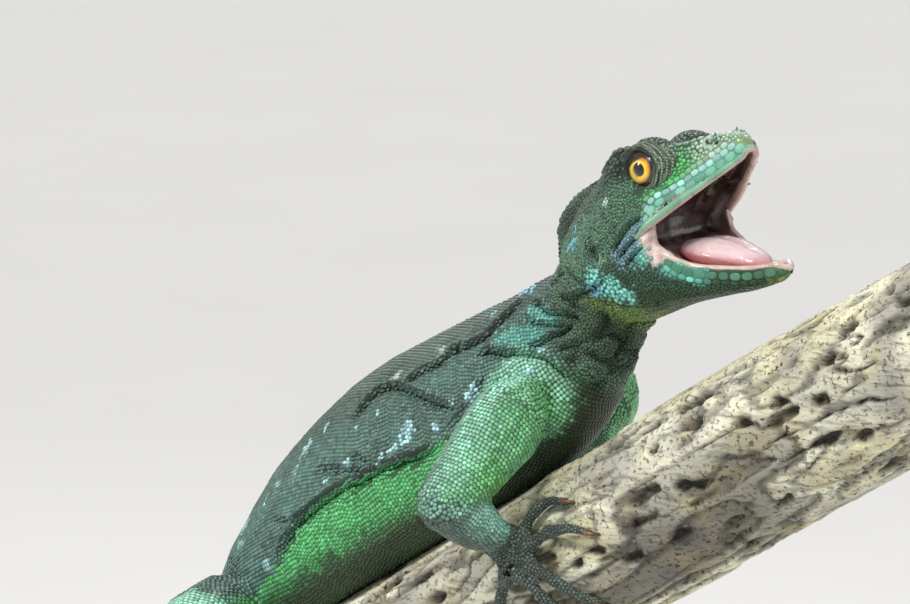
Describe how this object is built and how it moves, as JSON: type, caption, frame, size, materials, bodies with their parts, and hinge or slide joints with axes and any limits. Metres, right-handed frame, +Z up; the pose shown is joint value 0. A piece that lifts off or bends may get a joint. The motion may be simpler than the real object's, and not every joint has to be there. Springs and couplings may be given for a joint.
{
  "type": "green basilisk lizard model",
  "caption": "Still life-size green basilisk lizard gripping a sloping cut length of branch, mouth wide open, tail hanging, on a flat base with two upright rods.",
  "frame": {"origin": "middle of the display base's underside", "axes": "+X towards the animal's head, +Y to its left, +Z up"},
  "size_m": [0.4537, 0.116, 0.3829],
  "materials": {
    "skin": "dry scaly skin, satin",
    "digit_skin": "dry scaly skin, dull, with horn claws",
    "eye": "wet, glossy",
    "wet_flesh": "wet, soft sheen",
    "branch_wood": "weathered bark, matt",
    "base_paint": "satin powder coat",
    "rod_steel": "brushed"
  },
  "bodies": {
    "root": {"head": "skin", "lower_jaw": "skin", "neck": "skin", "chest": "skin", "belly": "skin", "pelvis": "skin", "tail_1": "skin", "tail_2": "skin", "tail_3": "skin", "tail_4": "skin", "upper_arm_right": "skin", "forearm_right": "skin", "thigh_right": "skin", "shank_right": "skin", "upper_arm_left": "skin", "forearm_left": "skin", "thigh_left": "skin", "shank_left": "skin", "hand_right": "digit_skin", "hand_left": "digit_skin", "foot_right": "digit_skin", "foot_left": "digit_skin", "eye_right": "eye", "eye_left": "eye", "tongue": "wet_flesh", "perch_branch": "branch_wood", "stand_base": "base_paint", "stand_rod_front": "rod_steel", "stand_rod_rear": "rod_steel"}
  },
  "joints": []
}
